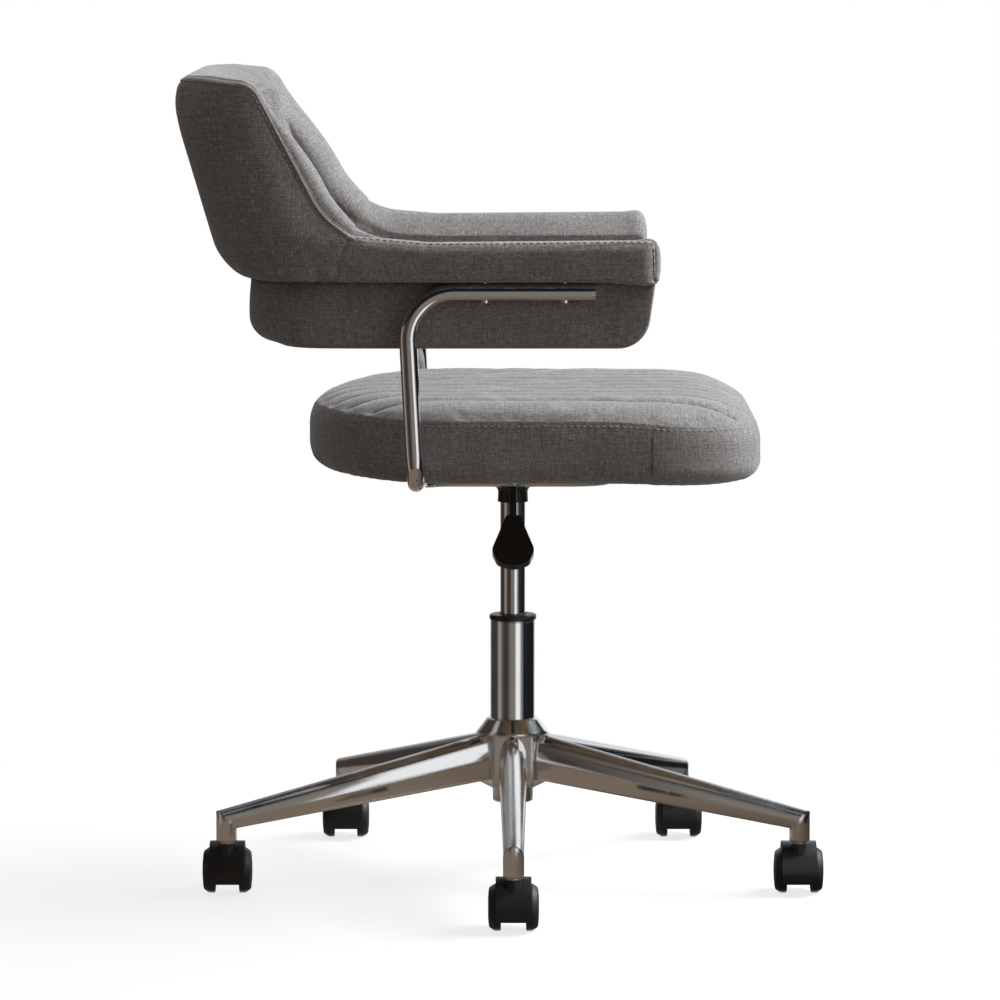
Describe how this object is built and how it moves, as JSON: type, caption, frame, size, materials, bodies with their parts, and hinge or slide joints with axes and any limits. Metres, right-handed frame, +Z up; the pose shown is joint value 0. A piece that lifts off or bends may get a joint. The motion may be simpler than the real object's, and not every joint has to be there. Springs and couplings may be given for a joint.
{
  "type": "swivel office chair",
  "caption": "Height-adjustable swivel desk chair with a channelled seat that is rounded behind, a low wrap-around padded back that runs into the arms, bent chrome arm tubes and a caster base.",
  "frame": {"origin": "on the floor under the centre of the gas lift", "axes": "+Z up; the chair faces -Y, so the back is towards +Y and the height lever is on the sitter's right, towards -X"},
  "size_m": [0.6627, 0.7078, 0.9033],
  "materials": {
    "chrome_legs": "mirror-bright chrome plate",
    "chrome_lift": "mirror-bright chrome plate",
    "chrome_tube": "mirror-bright chrome plate",
    "caster_plastic": "moulded black nylon with a soft shine",
    "wheel_plastic": "moulded black nylon with a soft shine",
    "inner_plastic": "plain moulded",
    "steel": "zinc plated",
    "black_steel": "satin black powder coat",
    "paddle_plastic": "fine moulded texture",
    "plywood": "bare birch plywood",
    "seat_fabric": "dark warm grey melange cloth with a fine woven crosshatch",
    "shell_fabric": "dark warm grey melange cloth with a fine woven crosshatch"
  },
  "bodies": {
    "base": {"base_hub": "chrome_legs", "column_tube": "chrome_legs", "column_rim": "caster_plastic", "guide_bush": "inner_plastic", "thrust_bearing": "steel", "caster_stems": "chrome_legs", "base_leg_1": "chrome_legs", "base_leg_2": "chrome_legs", "base_leg_3": "chrome_legs", "base_leg_4": "chrome_legs", "base_leg_5": "chrome_legs"},
    "lift_rod": {"piston_rod": "chrome_lift", "retaining_clip": "steel"},
    "seat": {"lift_cylinder": "chrome_lift", "lift_boot": "caster_plastic", "lift_socket": "black_steel", "seat_plate": "black_steel", "plate_bolts": "steel", "lever_pivot": "steel", "cross_tube": "chrome_tube", "frame_screws": "steel", "arm_screws": "chrome_tube", "tube_plugs": "chrome_tube", "arm_tube_right": "chrome_tube", "arm_tube_left": "chrome_tube", "seat_board": "plywood", "seat_cushion": "seat_fabric", "shell_core": "plywood", "back_board": "plywood", "collar_back": "shell_fabric", "band_back": "shell_fabric", "arm_pad_right": "shell_fabric", "arm_pad_left": "shell_fabric", "band_side_right": "shell_fabric", "band_side_left": "shell_fabric"},
    "lever": {"lever_rod": "black_steel", "lever_paddle": "paddle_plastic"},
    "valve_pin": {"release_pin": "steel"},
    "caster_1": {"caster_hood_1": "caster_plastic", "caster_axle_1": "steel"},
    "wheel_1_right": {"caster_wheel_1_right": "wheel_plastic"},
    "wheel_1_left": {"caster_wheel_1_left": "wheel_plastic"},
    "caster_2": {"caster_hood_2": "caster_plastic", "caster_axle_2": "steel"},
    "wheel_2_right": {"caster_wheel_2_right": "wheel_plastic"},
    "wheel_2_left": {"caster_wheel_2_left": "wheel_plastic"},
    "caster_3": {"caster_hood_3": "caster_plastic", "caster_axle_3": "steel"},
    "wheel_3_right": {"caster_wheel_3_right": "wheel_plastic"},
    "wheel_3_left": {"caster_wheel_3_left": "wheel_plastic"},
    "caster_4": {"caster_hood_4": "caster_plastic", "caster_axle_4": "steel"},
    "wheel_4_right": {"caster_wheel_4_right": "wheel_plastic"},
    "wheel_4_left": {"caster_wheel_4_left": "wheel_plastic"},
    "caster_5": {"caster_hood_5": "caster_plastic", "caster_axle_5": "steel"},
    "wheel_5_right": {"caster_wheel_5_right": "wheel_plastic"},
    "wheel_5_left": {"caster_wheel_5_left": "wheel_plastic"}
  },
  "joints": [
    {"name": "swivel", "type": "hinge", "parent": "base", "child": "lift_rod", "pos_m": [0, 0, 0.1], "axis": [0, 0, 1], "continuous": true},
    {"name": "height", "type": "slide", "parent": "lift_rod", "child": "seat", "axis": [0, 0, 1], "range_m": [-0.11, 0]},
    {"name": "lever", "type": "hinge", "parent": "seat", "child": "lever", "pos_m": [-0.03, 0, 0.4695], "axis": [0, 1, 0], "range_deg": [0, 6], "stiffness_Nm_per_rad": 2},
    {"name": "valve_pin", "type": "slide", "parent": "seat", "child": "valve_pin", "axis": [0, 0, 1], "range_m": [-0.0035, 0], "stiffness_N_per_m": 300},
    {"name": "caster_1_swivel", "type": "hinge", "parent": "base", "child": "caster_1", "pos_m": [-0.3305, 0, 0.05], "axis": [0, 0, 1], "continuous": true},
    {"name": "wheel_1_right_roll", "type": "hinge", "parent": "caster_1", "child": "wheel_1_right", "pos_m": [-0.3125, -0.0201, 0.025], "axis": [0, 1, 0], "continuous": true},
    {"name": "wheel_1_left_roll", "type": "hinge", "parent": "caster_1", "child": "wheel_1_left", "pos_m": [-0.3125, 0.0201, 0.025], "axis": [0, 1, 0], "continuous": true},
    {"name": "caster_2_swivel", "type": "hinge", "parent": "base", "child": "caster_2", "pos_m": [-0.10213, -0.31432, 0.05], "axis": [0, 0, 1], "continuous": true},
    {"name": "wheel_2_right_roll", "type": "hinge", "parent": "caster_2", "child": "wheel_2_right", "pos_m": [-0.08413, -0.33442, 0.025], "axis": [0, 1, 0], "continuous": true},
    {"name": "wheel_2_left_roll", "type": "hinge", "parent": "caster_2", "child": "wheel_2_left", "pos_m": [-0.08413, -0.29422, 0.025], "axis": [0, 1, 0], "continuous": true},
    {"name": "caster_3_swivel", "type": "hinge", "parent": "base", "child": "caster_3", "pos_m": [0.26738, -0.19426, 0.05], "axis": [0, 0, 1], "continuous": true},
    {"name": "wheel_3_right_roll", "type": "hinge", "parent": "caster_3", "child": "wheel_3_right", "pos_m": [0.28538, -0.21436, 0.025], "axis": [0, 1, 0], "continuous": true},
    {"name": "wheel_3_left_roll", "type": "hinge", "parent": "caster_3", "child": "wheel_3_left", "pos_m": [0.28538, -0.17416, 0.025], "axis": [0, 1, 0], "continuous": true},
    {"name": "caster_4_swivel", "type": "hinge", "parent": "base", "child": "caster_4", "pos_m": [0.26738, 0.19426, 0.05], "axis": [0, 0, 1], "continuous": true},
    {"name": "wheel_4_right_roll", "type": "hinge", "parent": "caster_4", "child": "wheel_4_right", "pos_m": [0.28538, 0.17416, 0.025], "axis": [0, 1, 0], "continuous": true},
    {"name": "wheel_4_left_roll", "type": "hinge", "parent": "caster_4", "child": "wheel_4_left", "pos_m": [0.28538, 0.21436, 0.025], "axis": [0, 1, 0], "continuous": true},
    {"name": "caster_5_swivel", "type": "hinge", "parent": "base", "child": "caster_5", "pos_m": [-0.10213, 0.31432, 0.05], "axis": [0, 0, 1], "continuous": true},
    {"name": "wheel_5_right_roll", "type": "hinge", "parent": "caster_5", "child": "wheel_5_right", "pos_m": [-0.08413, 0.29422, 0.025], "axis": [0, 1, 0], "continuous": true},
    {"name": "wheel_5_left_roll", "type": "hinge", "parent": "caster_5", "child": "wheel_5_left", "pos_m": [-0.08413, 0.33442, 0.025], "axis": [0, 1, 0], "continuous": true}
  ],
  "couplings": [
    {"joint": "valve_pin", "follows": "lever", "m_per_rad": -0.03}
  ]
}
